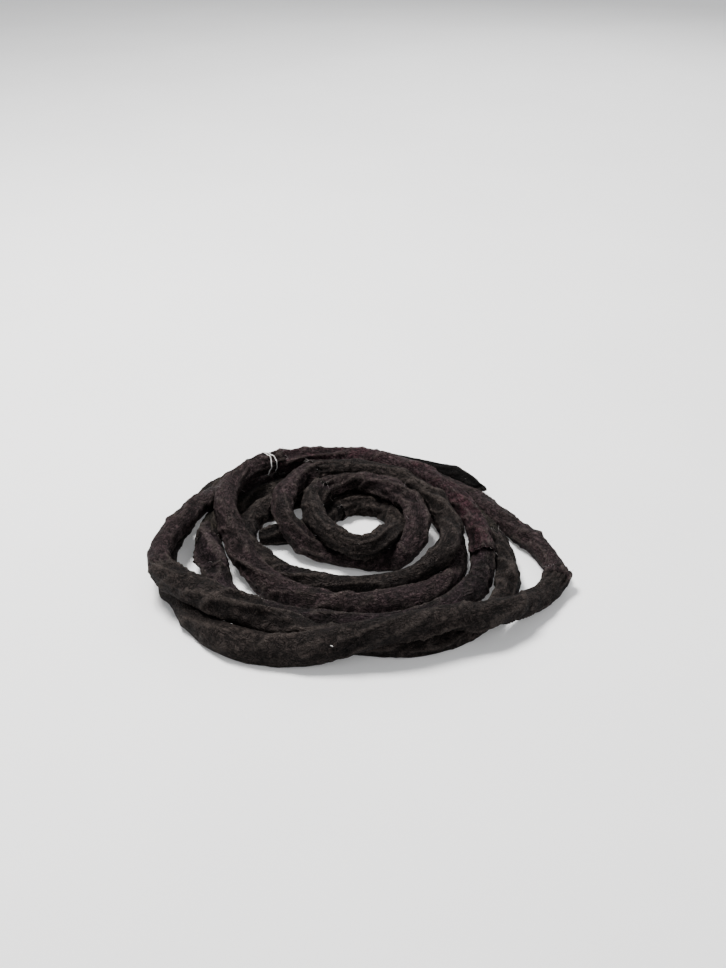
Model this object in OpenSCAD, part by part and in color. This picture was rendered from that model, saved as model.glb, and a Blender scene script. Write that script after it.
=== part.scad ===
// Cloth-covered jump rope without handles, lying in a loose coil of about seven turns.
// Millimetres, +Z up. The origin is the middle of the footprint, on the surface it lies on.

/* [Rope] */
// Clearance height from the surface to the middle of a strand that lies on it
strand_half = 5.5; // [5:0.1:5.5]
// Diameter of the rope inside its cloth
core_d = 7; // [5:0.1:7.5]
// Play between the rope and its cloth
cover_play = 0.2; // [0.1:0.05:0.4]

/* [Cloth joints] */
// How far a hem stands out over the cloth
hem_rise = 0.9; // [0.5:0.1:0.9]
// Length of a hem along the rope
hem_len = 4; // [2:0.5:5]

/* [Binding thread] */
// Diameter of the thread
thread_d = 0.8; // [0.6:0.1:0.9]
// Distance between the two turns of thread
thread_pitch = 5; // [3:0.5:6]
// Length of the loose end of the thread
thread_end = 9; // [4:0.5:10]

/* [Free tail] */
// Gap on each side of a bend in the tail
bend_gap = 1.6; // [1.5:0.1:2]
// Length of the flat frayed end
tip_len = 8; // [5:0.5:10]
// Thickness of the flat frayed end
tip_thick = 2.4; // [1.5:0.1:4]

/* [Hidden] */

SIDES = 12;
CORE_SIDES = 8;
cover_r = strand_half / cos(180 / SIDES);
core_r = core_d / 2;
core_gap = core_r + cover_play;
f = strand_half;
FAR = 40;
HEM_CLEAR = 0.2;

// Middle line of the rope, from the free tail inwards, in loose turns that rise where they
// cross. A strand on the surface has its middle at height f.
ROUTE = [
    // Turn 1: the free tail, behind the coil, down the left and along the front
    [73, 67, f], [67, 76, f], [59, 84, f], [40, 94, f], [20, 99, f], [-2, 101, f],
    [-26, 101, f], [-48, 95, f], [-68, 84, f], [-84, 67, f], [-95, 48, f], [-102, 27, f],
    [-106.5, 8, f], [-108, -12, f], [-103, -33, f], [-93, -53, f], [-81, -73, f], [-64, -90, f],
    [-44, -98, 6], [-21, -101, 9], [0, -98.5, 15.5], [21, -95, 17.5], [45, -87, 17.5], [68, -79, 15],
    // Turn 2: the wide loop on the right, then over turn 1 on the left
    [89, -63, 10], [104, -45, 6], [110, -28, f], [107, -11, f], [101, 4, f], [92, 17, f],
    [82, 33, f], [71, 50, f], [57, 66, f], [38, 80, f], [18, 87, f], [-3, 89, f],
    [-25, 89, f], [-45, 83, f], [-62, 71, f], [-75.5, 55, 9], [-84.5, 41.5, 14.5], [-91.5, 27, 18],
    [-98, 13, 18.5], [-105, -5, 18], [-109, -22, 17.5], [-108, -37, 17.5], [-101.5, -48, 17.5], [-94, -55, 18],
    [-86, -62, 18.5], [-69, -74, 18], [-54, -81, 15], [-38, -85, 10], [-17, -88, 6], [5, -91.5, f],
    // Turn 3
    [27, -92, f], [48, -84, f], [66, -70, f], [79, -48, f], [83, -26, f], [81, -6, f],
    [78, 12, f], [71, 28, f], [60, 44, f], [45, 58, f], [27, 70, f], [6, 75, f],
    [-16, 75, f], [-38, 70, f], [-56, 59, f], [-69, 44, f], [-80, 29, 9], [-85, 11, 11],
    [-84, -7, 11], [-79, -23, 8], [-74, -41, f], [-63, -57, f], [-47, -67, f], [-26, -72, f],
    [-4, -76, f], [17, -76, f],
    // Turn 4: the high strand that arches over the left side
    [37, -69, f], [54, -55, f], [66, -37, f], [70, -18, 7.5], [69.5, 0, 11.5], [66, 16, 14.5],
    [59, 32, 17], [49, 49, 17.5], [33, 66, 18], [12, 79, 18], [-8, 83, 17], [-28, 83, 18],
    [-45, 78, 19], [-59, 68, 21], [-69, 55, 22], [-75, 40, 22], [-77, 24, 22], [-75, 8, 21],
    [-69, -6, 17], [-62.5, -20, 11.5], [-53.5, -34, 8], [-40, -46.5, 6], [-25, -55, f], [-7, -59, f],
    [12, -59, f],
    // Turn 5
    [30, -53, f], [45, -41, f], [53, -27, f], [55, -8, f], [54, 10, f], [51, 28, f],
    [42, 42, f], [30, 53, f], [16, 60, f], [0, 62, f], [-16, 60, f], [-32, 56, f],
    [-47, 48, f], [-58, 36, f], [-64, 22, f], [-65, 8, f], [-60, -5, f], [-51, -17, f],
    [-39, -28, f], [-25, -36, f], [-7, -40, f], [11, -39, f],
    // Turn 6
    [27, -36, 7.5], [41, -31, 14.5], [50, -17, 17.5], [53, 2, 17.5], [49.5, 18, 17.5], [43, 34, 18],
    [33, 48, 18], [19, 60, 18], [2, 67, 18], [-14, 67, 18], [-29, 61, 19], [-39, 49, 19],
    [-44, 34, 19], [-43, 18, 19], [-39, 6, 16], [-30, -2, 9], [-16, -8, f], [1, -13, f],
    // Turn 7
    [19, -18, 6.5], [31, -6, 12], [34, 10, 17], [33, 25, 17], [25, 38, 17], [14, 48, 17],
    [1, 55, 17], [-13, 52, 18], [-23, 42, 18], [-27, 28, 18], [-25, 13, 18], [-17, -4, 17.5],
    [-6, -15, 17], [6, -22, 17.5], [14, -12, 18.5],
    // The innermost turn and the end tucked under it
    [19, 0, 13.5], [23, 13, 7.5], [23, 27, f], [18, 39, f], [8, 46, f], [-3, 47, f],
    [-13, 40, f], [-21, 30, f], [-30, 20, f], [-41, 13, f], [-52, 10, f]
];

// Places along the route, counted in route points
TAIL_BEND = 3;
TIP_BEND = 2;
RIGHT_LOOP = 25.5;
LEFT_SIDE = 45.5;
FLAP = 59.5;
BUNCHED = 71.5;
RIGHT_RED = 83.5;
BINDING = 92.5;
ARCH_END = 113.5;
FOLD = 136.5;
PUCKER = 152.5;
INNER_CREASE = 165.5;
LAST = len(ROUTE) - 1;

// Small helpers on the route
function unit(v) = v / norm(v);
function leg(i) = ROUTE[min(i + 1, LAST)] - ROUTE[min(i, LAST - 1)];
function place(t) = let (i = min(floor(t), LAST - 1)) ROUTE[i] + (ROUTE[i + 1] - ROUTE[i]) * (t - i);
function along(t) = t == floor(t) && t > 0 && t < LAST
    ? unit(unit(leg(t)) + unit(leg(t - 1)))
    : unit(leg(min(floor(t), LAST - 1)));
function step(t, mm) = mm / norm(leg(min(floor(t), LAST - 1)));
function stops(from, to) = [from, for (i = [floor(from) + 1 : ceil(to) - 1]) i, to];

// One ring of the sweep: level to both sides, with a flat facet underneath
function ring(at, dir, r, sides) = let (
    side = unit(cross([0, 0, 1], dir)),
    up = cross(dir, side)
) [for (k = [0 : sides - 1]) let (a = (k + 0.5) * 360 / sides)
    at + r * (side * cos(a) + up * sin(a))];

function rings(from, to, r, sides) = [for (t = stops(from, to)) each ring(place(t), along(t), r, sides)];
function skin(n, sides, base, flip) = [for (i = [0 : n - 2]) for (k = [0 : sides - 1]) let (
    a = base + i * sides + k,
    b = base + i * sides + (k + 1) % sides
) flip ? [a, b, b + sides, a + sides] : [a + sides, b + sides, b, a]];

// A solid strand between two places on the route
module strand(from, to, r, sides) {
    n = len(stops(from, to));
    polyhedron(
        points = rings(from, to, r, sides),
        faces = [
            [for (k = [sides - 1 : -1 : 0]) k],
            each skin(n, sides, 0, true),
            [for (k = [0 : sides - 1]) (n - 1) * sides + k]
        ],
        convexity = 12
    );
}

// A hollow cloth sleeve between two places on the route
module sleeve(from, to) {
    n = len(stops(from, to));
    inner = n * SIDES;
    last = (n - 1) * SIDES;
    polyhedron(
        points = concat(rings(from, to, cover_r, SIDES), rings(from, to, core_gap, SIDES)),
        faces = [
            each skin(n, SIDES, 0, true),
            each skin(n, SIDES, inner, false),
            for (k = [0 : SIDES - 1]) [inner + k, inner + (k + 1) % SIDES, (k + 1) % SIDES, k],
            for (k = [0 : SIDES - 1])
                [last + k, last + (k + 1) % SIDES, inner + last + (k + 1) % SIDES, inner + last + k]
        ],
        convexity = 12
    );
}

// Places children on the route with their Z axis along the rope
module on_route(t) {
    d = along(t);
    translate(place(t))
        rotate([0, acos(d[2]), atan2(d[1], d[0])])
            children();
}

// A hem: a short collar over the cloth where one length laps over the next, flat underneath
// and just clear of the surface
module hem(t) {
    color("dimgray")
        difference() {
            on_route(t)
                rotate_extrude($fn = 48)
                    translate([cover_r + 0.1, -hem_len / 2])
                        square([hem_rise - 0.1, hem_len]);
            translate(place(t) + [-FAR / 2, -FAR / 2, HEM_CLEAR - place(t)[2] - FAR])
                cube(FAR);
        }
}

// One turn of thread round the cloth
module thread_turn(offset) {
    color("whitesmoke")
        on_route(BINDING)
            translate([0, 0, offset])
                rotate_extrude($fn = 48)
                    translate([cover_r + thread_d / 2 + 0.05, 0])
                        circle(d = thread_d, $fn = 16);
}

module rope_core() color("tan") strand(TAIL_BEND + step(TAIL_BEND, bend_gap), LAST - 0.2, core_r, CORE_SIDES);
module tail_core() color("tan")
    strand(TIP_BEND + step(TIP_BEND, bend_gap), TAIL_BEND - step(TIP_BEND, bend_gap), core_r, CORE_SIDES);
module tail_tip_core() color("tan") strand(0, TIP_BEND - step(1, bend_gap), core_r, CORE_SIDES);

module cover_outer_turn() color("dimgray") sleeve(TAIL_BEND + step(TAIL_BEND, bend_gap), RIGHT_LOOP);
module cover_right_loop() color("rosybrown") sleeve(RIGHT_LOOP, LEFT_SIDE);
module cover_left_front() color("slategray") sleeve(LEFT_SIDE, FLAP);
module cover_third_turn() color("darkolivegreen") sleeve(FLAP, BUNCHED);
module cover_left_bunched() color("dimgray") sleeve(BUNCHED, RIGHT_RED);
module cover_right_red() color("brown") sleeve(RIGHT_RED, BINDING);
module cover_arch() color("rosybrown") sleeve(BINDING, ARCH_END);
module cover_fifth_turn() color("dimgray") sleeve(ARCH_END, FOLD);
module cover_sixth_turn() color("gray") sleeve(FOLD, PUCKER);
module cover_inner_turn() color("dimgray") sleeve(PUCKER, INNER_CREASE);
module cover_inner_end() color("darkslategray") sleeve(INNER_CREASE, LAST - 0.2);
module cover_tail() color("dimgray")
    sleeve(TIP_BEND + step(TIP_BEND, bend_gap), TAIL_BEND - step(TIP_BEND, bend_gap));
module cover_tail_tip() color("dimgray") sleeve(0, TIP_BEND - step(1, bend_gap));

module hem_right_loop() hem(RIGHT_LOOP);
module hem_left_side() hem(LEFT_SIDE);
module hem_right_red() hem(RIGHT_RED);
module hem_left_bunched() hem(BUNCHED);

module thread_turn_1() thread_turn(-thread_pitch / 2);
module thread_turn_2() thread_turn(thread_pitch / 2);

// The loose end of the thread, hanging down beside the bound strand
module thread_tail() {
    color("whitesmoke")
        translate(place(BINDING) + [4, -cover_r - 0.1, -3])
            rotate([0, -120, 0])
                cylinder(d = thread_d, h = thread_end, $fn = 16);
}

// The flat, notched and frayed end of the tail, beyond the end of the rope
module tip_flap() {
    color("darkslategray")
        on_route(0)
            rotate([90, 0, 90])
                linear_extrude(tip_thick, center = true)
                    polygon([
                        [-core_r, 0], [core_r, 0], [core_r, -tip_len * 0.6],
                        [1, -tip_len * 0.45], [-1, -tip_len], [-core_r, -tip_len * 0.7]
                    ]);
}

// The closed inner end of the cloth
module inner_end_plug() color("darkslategray") strand(LAST - 0.2, LAST, cover_r * 0.8, SIDES);

rope_core();
tail_core();
tail_tip_core();
cover_outer_turn();
cover_right_loop();
cover_left_front();
cover_third_turn();
cover_left_bunched();
cover_right_red();
cover_arch();
cover_fifth_turn();
cover_sixth_turn();
cover_inner_turn();
cover_inner_end();
cover_tail();
cover_tail_tip();
hem_right_loop();
hem_left_side();
hem_right_red();
hem_left_bunched();
thread_turn_1();
thread_turn_2();
thread_tail();
tip_flap();
inner_end_plug();
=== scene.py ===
"""Looks of the coiled jump rope: a round rope in overlapping lengths of dark, worn cloth."""

import math

import bpy
import numpy as np
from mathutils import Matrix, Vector
from mathutils.kdtree import KDTree


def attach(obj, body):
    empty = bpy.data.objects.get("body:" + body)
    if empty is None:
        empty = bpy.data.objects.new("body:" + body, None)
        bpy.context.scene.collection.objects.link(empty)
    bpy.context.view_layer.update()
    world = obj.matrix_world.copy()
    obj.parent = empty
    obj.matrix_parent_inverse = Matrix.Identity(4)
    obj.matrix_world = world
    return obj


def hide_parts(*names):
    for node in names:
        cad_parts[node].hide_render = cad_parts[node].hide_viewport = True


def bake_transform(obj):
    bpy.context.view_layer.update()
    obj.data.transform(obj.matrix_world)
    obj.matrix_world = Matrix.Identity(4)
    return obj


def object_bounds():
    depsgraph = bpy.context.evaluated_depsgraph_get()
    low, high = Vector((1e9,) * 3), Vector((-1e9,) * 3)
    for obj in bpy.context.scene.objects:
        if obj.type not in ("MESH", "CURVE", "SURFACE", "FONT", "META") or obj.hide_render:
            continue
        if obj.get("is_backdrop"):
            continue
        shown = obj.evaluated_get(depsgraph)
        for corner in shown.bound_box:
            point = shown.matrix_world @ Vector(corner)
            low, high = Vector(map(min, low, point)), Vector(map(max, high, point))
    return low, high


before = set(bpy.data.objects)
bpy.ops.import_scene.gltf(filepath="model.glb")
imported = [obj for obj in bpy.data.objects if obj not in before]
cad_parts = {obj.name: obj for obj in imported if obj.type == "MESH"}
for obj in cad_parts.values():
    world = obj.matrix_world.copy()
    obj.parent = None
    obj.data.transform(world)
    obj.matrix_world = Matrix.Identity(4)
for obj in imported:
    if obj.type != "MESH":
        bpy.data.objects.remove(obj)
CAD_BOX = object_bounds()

MM = 0.001

# ---------------------------------------------------------------- the route

# Height of the middle of a strand that lies on the floor
F = 0.0055

# Middle line of the rope, from the free tail inwards, as in the part's own source
ROUTE = [
    # Turn 1: the free tail, behind the coil, down the left and along the front
    (0.073, 0.067, F), (0.067, 0.076, F), (0.059, 0.084, F),
    (0.040, 0.094, F), (0.020, 0.099, F), (-0.002, 0.101, F),
    (-0.026, 0.101, F), (-0.048, 0.095, F), (-0.068, 0.084, F),
    (-0.084, 0.067, F), (-0.095, 0.048, F), (-0.102, 0.027, F),
    (-0.1065, 0.008, F), (-0.108, -0.012, F), (-0.103, -0.033, F),
    (-0.093, -0.053, F), (-0.081, -0.073, F), (-0.064, -0.090, F),
    (-0.044, -0.098, 0.006), (-0.021, -0.101, 0.009), (0.000, -0.0985, 0.0155),
    (0.021, -0.095, 0.0175), (0.045, -0.087, 0.0175), (0.068, -0.079, 0.015),
    # Turn 2: the wide loop on the right, then over turn 1 on the left
    (0.089, -0.063, 0.010), (0.104, -0.045, 0.006), (0.110, -0.028, F),
    (0.107, -0.011, F), (0.101, 0.004, F), (0.092, 0.017, F),
    (0.082, 0.033, F), (0.071, 0.050, F), (0.057, 0.066, F),
    (0.038, 0.080, F), (0.018, 0.087, F), (-0.003, 0.089, F),
    (-0.025, 0.089, F), (-0.045, 0.083, F), (-0.062, 0.071, F),
    (-0.0755, 0.055, 0.009), (-0.0845, 0.0415, 0.0145), (-0.0915, 0.027, 0.018),
    (-0.098, 0.013, 0.0185), (-0.105, -0.005, 0.018), (-0.109, -0.022, 0.0175),
    (-0.108, -0.037, 0.0175), (-0.1015, -0.048, 0.0175), (-0.094, -0.055, 0.018),
    (-0.086, -0.062, 0.0185), (-0.069, -0.074, 0.018), (-0.054, -0.081, 0.015),
    (-0.038, -0.085, 0.010), (-0.017, -0.088, 0.006), (0.005, -0.0915, F),
    # Turn 3
    (0.027, -0.092, F), (0.048, -0.084, F), (0.066, -0.070, F),
    (0.079, -0.048, F), (0.083, -0.026, F), (0.081, -0.006, F),
    (0.078, 0.012, F), (0.071, 0.028, F), (0.060, 0.044, F),
    (0.045, 0.058, F), (0.027, 0.070, F), (0.006, 0.075, F),
    (-0.016, 0.075, F), (-0.038, 0.070, F), (-0.056, 0.059, F),
    (-0.069, 0.044, F), (-0.080, 0.029, 0.009), (-0.085, 0.011, 0.011),
    (-0.084, -0.007, 0.011), (-0.079, -0.023, 0.008), (-0.074, -0.041, F),
    (-0.063, -0.057, F), (-0.047, -0.067, F), (-0.026, -0.072, F),
    (-0.004, -0.076, F), (0.017, -0.076, F),
    # Turn 4: the high strand that arches over the left side
    (0.037, -0.069, F), (0.054, -0.055, F), (0.066, -0.037, F),
    (0.070, -0.018, 0.0075), (0.0695, 0.000, 0.0115), (0.066, 0.016, 0.0145),
    (0.059, 0.032, 0.017), (0.049, 0.049, 0.0175), (0.033, 0.066, 0.018),
    (0.012, 0.079, 0.018), (-0.008, 0.083, 0.017), (-0.028, 0.083, 0.018),
    (-0.045, 0.078, 0.019), (-0.059, 0.068, 0.021), (-0.069, 0.055, 0.022),
    (-0.075, 0.040, 0.022), (-0.077, 0.024, 0.022), (-0.075, 0.008, 0.021),
    (-0.069, -0.006, 0.017), (-0.0625, -0.020, 0.0115), (-0.0535, -0.034, 0.008),
    (-0.040, -0.0465, 0.006), (-0.025, -0.055, F), (-0.007, -0.059, F),
    (0.012, -0.059, F),
    # Turn 5
    (0.030, -0.053, F), (0.045, -0.041, F), (0.053, -0.027, F),
    (0.055, -0.008, F), (0.054, 0.010, F), (0.051, 0.028, F),
    (0.042, 0.042, F), (0.030, 0.053, F), (0.016, 0.060, F),
    (0.000, 0.062, F), (-0.016, 0.060, F), (-0.032, 0.056, F),
    (-0.047, 0.048, F), (-0.058, 0.036, F), (-0.064, 0.022, F),
    (-0.065, 0.008, F), (-0.060, -0.005, F), (-0.051, -0.017, F),
    (-0.039, -0.028, F), (-0.025, -0.036, F),
    (-0.007, -0.040, F), (0.011, -0.039, F),
    # Turn 6
    (0.027, -0.036, 0.0075), (0.041, -0.031, 0.0145), (0.050, -0.017, 0.0175),
    (0.053, 0.002, 0.0175), (0.0495, 0.018, 0.0175), (0.043, 0.034, 0.018),
    (0.033, 0.048, 0.018), (0.019, 0.060, 0.018), (0.002, 0.067, 0.018),
    (-0.014, 0.067, 0.018), (-0.029, 0.061, 0.019), (-0.039, 0.049, 0.019),
    (-0.044, 0.034, 0.019), (-0.043, 0.018, 0.019), (-0.039, 0.006, 0.016),
    (-0.030, -0.002, 0.009), (-0.016, -0.008, F), (0.001, -0.013, F),
    # Turn 7
    (0.019, -0.018, 0.0065), (0.031, -0.006, 0.012), (0.034, 0.010, 0.017),
    (0.033, 0.025, 0.017), (0.025, 0.038, 0.017), (0.014, 0.048, 0.017),
    (0.001, 0.055, 0.017), (-0.013, 0.052, 0.018), (-0.023, 0.042, 0.018),
    (-0.027, 0.028, 0.018), (-0.025, 0.013, 0.018), (-0.017, -0.004, 0.0175),
    (-0.006, -0.015, 0.017), (0.006, -0.022, 0.0175),
    (0.014, -0.012, 0.0185),
    # The innermost turn and the end tucked under it
    (0.019, 0.000, 0.0135), (0.023, 0.013, 0.0075), (0.023, 0.027, F),
    (0.018, 0.039, F), (0.008, 0.046, F), (-0.003, 0.047, F),
    (-0.013, 0.040, F), (-0.021, 0.030, F), (-0.030, 0.020, F),
    (-0.041, 0.013, F), (-0.052, 0.010, F),
]

# Places along the route, counted in route points
TAIL_BEND, TIP_BEND = 3, 2
RIGHT_LOOP, LEFT_SIDE, FLAP, BUNCHED = 25.5, 45.5, 59.5, 71.5
RIGHT_RED, BINDING, ARCH_END, FOLD = 83.5, 92.5, 113.5, 136.5
PUCKER, INNER_CREASE = 152.5, 165.5
LAST = len(ROUTE) - 1

CORE_R = 3.5 * MM

# Sampling of the smooth middle line, and of a cloth tube's own mesh
STEP = 0.9 * MM
AROUND = 48
CURVE_POINTS_PER_LEG = 24

# How far the middle line and its bends are smoothed
LINE_SMOOTHING = 6 * MM
BEND_SMOOTHING = 4 * MM


def catmull(points, per_leg):
    """A smooth curve through the points, with the route place of each sample."""
    p = np.vstack([2 * points[0] - points[1], points, 2 * points[-1] - points[-2]])
    t = (np.arange(per_leg) / per_leg)[:, None]
    legs = []
    for i in range(len(points) - 1):
        a, b, c, d = p[i : i + 4]
        legs.append(0.5 * (2 * b + (c - a) * t + (2 * a - 5 * b + 4 * c - d) * t**2
                           + (3 * b - a - 3 * c + d) * t**3))
    places = np.arange(per_leg * (len(points) - 1)) / per_leg
    return np.vstack(legs + [points[-1:]]), np.append(places, len(points) - 1)


def smooth_along(values, sigma):
    """Gaussian smoothing along the first axis that keeps the ends where they are."""
    reach = int(3 * sigma)
    kernel = np.exp(-0.5 * (np.arange(-reach, reach + 1) / sigma) ** 2)
    kernel /= kernel.sum()
    head = 2 * values[0] - values[reach:0:-1]
    tail = 2 * values[-1] - values[-2 : -reach - 2 : -1]
    padded = np.concatenate([head, values, tail])
    out = np.empty_like(values)
    for k in range(values.shape[1]):
        out[:, k] = np.convolve(padded[:, k], kernel, "valid")
    return out


def arc(points):
    """Distance along a line of points."""
    return np.append(0, np.cumsum(np.linalg.norm(np.diff(points, axis=0), axis=1)))


def even(points, places, gap):
    """Resamples a line at an even gap."""
    s = arc(points)
    want = np.linspace(0, s[-1], int(round(s[-1] / gap)) + 1)
    line = np.stack([np.interp(want, s, points[:, k]) for k in range(3)], axis=1)
    return line, np.interp(want, s, places)


def unit(v):
    """Vectors brought to length one."""
    return v / np.maximum(np.linalg.norm(v, axis=-1, keepdims=True), 1e-12)


_curve, PLACES = even(*catmull(np.array(ROUTE), CURVE_POINTS_PER_LEG), STEP)
LINE = smooth_along(_curve, LINE_SMOOTHING / STEP)
S = arc(LINE)
TANGENT = unit(np.gradient(LINE, axis=0))
SIDE = unit(np.cross([0, 0, 1], TANGENT))
UP = np.cross(TANGENT, SIDE)
BEND = smooth_along(np.gradient(TANGENT, axis=0) / STEP, BEND_SMOOTHING / STEP)


def at(place):
    """Distance along the rope of a place on the route."""
    return float(np.interp(place, PLACES, S))


# ---------------------------------------------------------------- camera and light

VIEW_FROM = math.radians(32.5)
VIEW_DISTANCE = 0.760
PICTURE_H, FOCAL_PX = 968, 1320
SENSOR = 36
AIM_BELOW_MIDDLE_PX = 64
COIL_MIDDLE = Vector((0.003, 0.007, 0))

# Name, place, size across, power and colour of each lamp
LAMPS = (
    ("key", (-0.4, 0.3, 1.2), 0.5, 44, (1, 0.985, 0.97)),
    ("fill", (0.9, -0.9, 1.1), 1.2, 7, (1, 1, 1)),
    ("back", (0.3, 1.3, 0.8), 0.9, 10, (1, 1, 1)),
)
SKY_COLOUR = (0.95, 0.97, 1, 1)
SKY_STRENGTH = 0.45


def make_camera():
    data = bpy.data.cameras.new("camera")
    cam = bpy.data.objects.new("camera", data)
    bpy.context.collection.objects.link(cam)
    data.sensor_width = SENSOR
    data.lens = SENSOR * FOCAL_PX / PICTURE_H
    cam.location = COIL_MIDDLE + VIEW_DISTANCE * Vector((0, -math.cos(VIEW_FROM), math.sin(VIEW_FROM)))
    pitch = VIEW_FROM - math.atan(AIM_BELOW_MIDDLE_PX / FOCAL_PX)
    cam.rotation_euler = (math.pi / 2 - pitch, 0, 0)
    bpy.context.scene.camera = cam


def make_light():
    for name, place, size, power, colour in LAMPS:
        data = bpy.data.lights.new(name, "AREA")
        data.shape = "DISK"
        data.size = size
        data.energy = power
        data.color = colour
        lamp = bpy.data.objects.new(name, data)
        lamp.location = place
        lamp.rotation_euler = (-Vector(place)).to_track_quat("-Z", "Y").to_euler()
        bpy.context.collection.objects.link(lamp)
    world = bpy.data.worlds.new("studio")
    bpy.context.scene.world = world
    world.use_nodes = True
    sky = world.node_tree.nodes["Background"]
    sky.inputs["Color"].default_value = SKY_COLOUR
    sky.inputs["Strength"].default_value = SKY_STRENGTH


make_camera()
make_light()

# ---------------------------------------------------------------- node helpers


class Nodes:
    """Short names for building one material."""

    def __init__(self, name):
        self.mat = bpy.data.materials.new(name)
        self.mat.use_nodes = True
        self.tree = self.mat.node_tree
        self.tree.nodes.clear()

    def add(self, kind, **settings):
        node = self.tree.nodes.new(kind)
        for key, value in settings.items():
            setattr(node, key, value)
        return node

    def join(self, source, target):
        self.tree.links.new(source, target)

    def put(self, socket, value):
        if isinstance(value, bpy.types.NodeSocket):
            self.join(value, socket)
        elif value is not None:
            socket.default_value = value

    def math(self, operation, a, b=None, clamp=False):
        node = self.add("ShaderNodeMath", operation=operation, use_clamp=clamp)
        self.put(node.inputs[0], a)
        self.put(node.inputs[1], b)
        return node.outputs[0]

    def noise(self, vector, scale, detail=3, rough=0.55, distortion=0.0):
        node = self.add("ShaderNodeTexNoise")
        self.put(node.inputs["Vector"], vector)
        node.inputs["Scale"].default_value = scale
        node.inputs["Detail"].default_value = detail
        node.inputs["Roughness"].default_value = rough
        node.inputs["Distortion"].default_value = distortion
        return node.outputs["Fac"]

    def ramp(self, factor, stops):
        node = self.add("ShaderNodeValToRGB")
        self.put(node.inputs["Fac"], factor)
        band = node.color_ramp
        while len(band.elements) < len(stops):
            band.elements.new(0.5)
        for element, (place, colour) in zip(band.elements, stops):
            element.position = place
            element.color = (*colour, 1) if len(colour) == 3 else colour
        return node.outputs["Color"]

    def mix(self, factor, a, b, blend="MIX"):
        node = self.add("ShaderNodeMix", data_type="RGBA", blend_type=blend)
        self.put(node.inputs["Factor"], factor)
        self.put(node.inputs[6], a)
        self.put(node.inputs[7], b)
        return node.outputs[2]

    def shade(self, colour, factor, stops):
        """Darkens or lightens a colour by a grey ramp."""
        greys = [(place, grey(value)) for place, value in stops]
        return self.mix(1.0, colour, self.ramp(factor, greys), "MULTIPLY")

    def bump(self, height, strength, distance):
        node = self.add("ShaderNodeBump")
        node.inputs["Strength"].default_value = strength
        node.inputs["Distance"].default_value = distance
        self.put(node.inputs["Height"], height)
        return node.outputs[0]

    def surface(self, colour, roughness, normal=None, **settings):
        """Ends the material: settings are the shader's own values, with _ for a space."""
        shader = self.add("ShaderNodeBsdfPrincipled")
        self.put(shader.inputs["Base Color"], colour)
        self.put(shader.inputs["Roughness"], roughness)
        self.put(shader.inputs["Normal"], normal)
        for key, value in settings.items():
            shader.inputs[key.replace("_", " ")].default_value = value
        out = self.add("ShaderNodeOutputMaterial")
        self.join(shader.outputs[0], out.inputs["Surface"])
        return self.mat

    def scaled(self, vector, by):
        node = self.add("ShaderNodeVectorMath", operation="MULTIPLY")
        self.put(node.inputs[0], vector)
        node.inputs[1].default_value = by
        return node.outputs[0]


def grey(v):
    return (v, v, v)


# ---------------------------------------------------------------- materials

# Colours of the worn cloth, in linear light
CHARCOAL = (0.0158, 0.0127, 0.0120)
TAUPE = (0.0280, 0.0218, 0.0197)
MAUVE = (0.0400, 0.0262, 0.0282)
PLUM = (0.0385, 0.0255, 0.0295)
BURGUNDY = (0.0500, 0.0222, 0.0275)
OLIVE = (0.0275, 0.0235, 0.0180)
SOOT = (0.0050, 0.0040, 0.0038)
PITCH = (0.0020, 0.0017, 0.0017)
# Dust on the raised folds; this light colour is also a painted highlight there
DUST = (0.082, 0.067, 0.060)

WEAVE = 1.15 * MM
# A wave texture has this many bands in one unit at scale 1
BANDS_PER_UNIT = 3.18


def weave_height(n, uv):
    """Warp and weft of a coarse cloth."""
    threads = []
    for direction in "XY":
        wave = n.add("ShaderNodeTexWave", wave_type="BANDS", bands_direction=direction)
        n.put(wave.inputs["Vector"], uv)
        wave.inputs["Scale"].default_value = 1 / WEAVE / BANDS_PER_UNIT
        wave.inputs["Distortion"].default_value = 1.6
        wave.inputs["Detail"].default_value = 1.0
        wave.inputs["Detail Scale"].default_value = 0.6
        threads.append(wave.outputs["Fac"])
    return n.math("MULTIPLY", *threads)


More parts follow.
